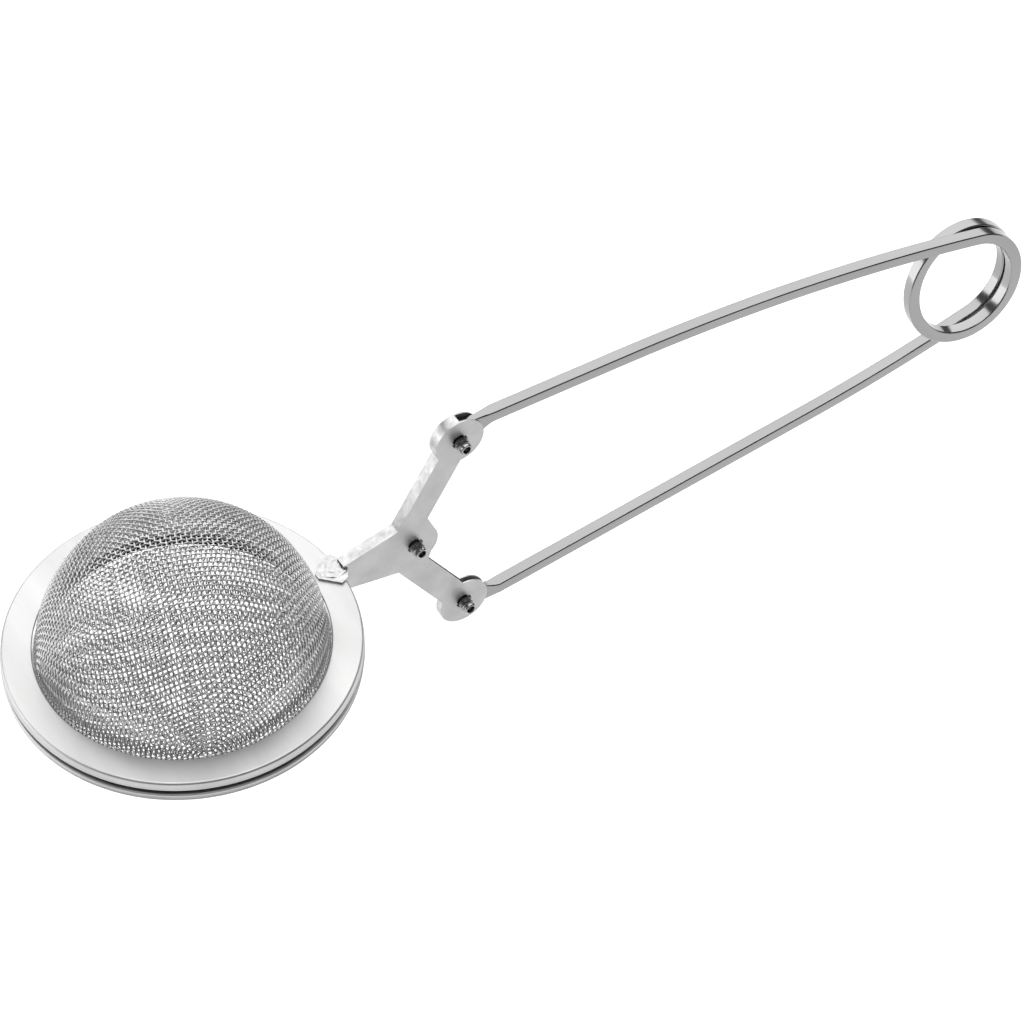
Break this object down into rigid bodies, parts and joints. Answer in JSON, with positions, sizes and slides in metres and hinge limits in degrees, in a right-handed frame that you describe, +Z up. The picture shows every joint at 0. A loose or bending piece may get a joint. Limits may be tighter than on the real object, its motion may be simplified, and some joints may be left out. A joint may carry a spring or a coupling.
{
  "type": "tea strainer",
  "caption": "Squeeze-handle tea strainer: two woven steel bowls with flat flanges on nested pivoting levers, held shut by a sprung square-wire handle with a coil.",
  "frame": {"origin": "on the standing plane, under the middle of the whole strainer", "axes": "+X from the ball to the coil at the handle's end, +Z up through the closed ball's upper bowl, rivet tips to -Y"},
  "size_m": [0.1954, 0.06, 0.0507],
  "materials": {
    "woven_mesh": "plain-woven bright stainless wire",
    "flange_steel": "fine satin sheet",
    "ring_steel": "plain pressed sheet",
    "lever_steel": "satin sheet",
    "rivet_steel": "bright tubular rivet",
    "handle_wire": "polished square wire"
  },
  "bodies": {
    "lower_half": {"lower_mesh": "woven_mesh", "lower_clamp_ring": "ring_steel", "lower_flange": "flange_steel", "lower_lever": "lever_steel", "pivot_rivet": "rivet_steel", "lower_rivet": "rivet_steel"},
    "upper_half": {"upper_mesh": "woven_mesh", "upper_clamp_ring": "ring_steel", "upper_flange": "flange_steel", "upper_lever": "lever_steel", "upper_rivet": "rivet_steel"},
    "lower_handle": {"lower_arm": "handle_wire", "coil": "handle_wire"},
    "upper_handle": {"upper_arm": "handle_wire"}
  },
  "joints": [
    {"name": "opening", "type": "hinge", "parent": "lower_half", "child": "upper_half", "pos_m": [-0.0237, 0, 0.0252], "axis": [0, 1, 0], "range_deg": [0, 50], "stiffness_Nm_per_rad": 0.07, "springref_deg": -3.44},
    {"name": "lower_arm_pivot", "type": "hinge", "parent": "lower_half", "child": "lower_handle", "pos_m": [-0.0145, 0, 0.0046], "axis": [0, 1, 0], "range_deg": [0, 28.2]},
    {"name": "coil_flex", "type": "hinge", "parent": "lower_handle", "child": "upper_handle", "pos_m": [0.0863, 0, 0.0252], "axis": [0, 1, 0], "range_deg": [-6.3, 0]}
  ],
  "couplings": [
    {"joint": "lower_arm_pivot", "follows": "opening", "ratio": 0.5625},
    {"joint": "coil_flex", "follows": "opening", "ratio": -0.125}
  ]
}
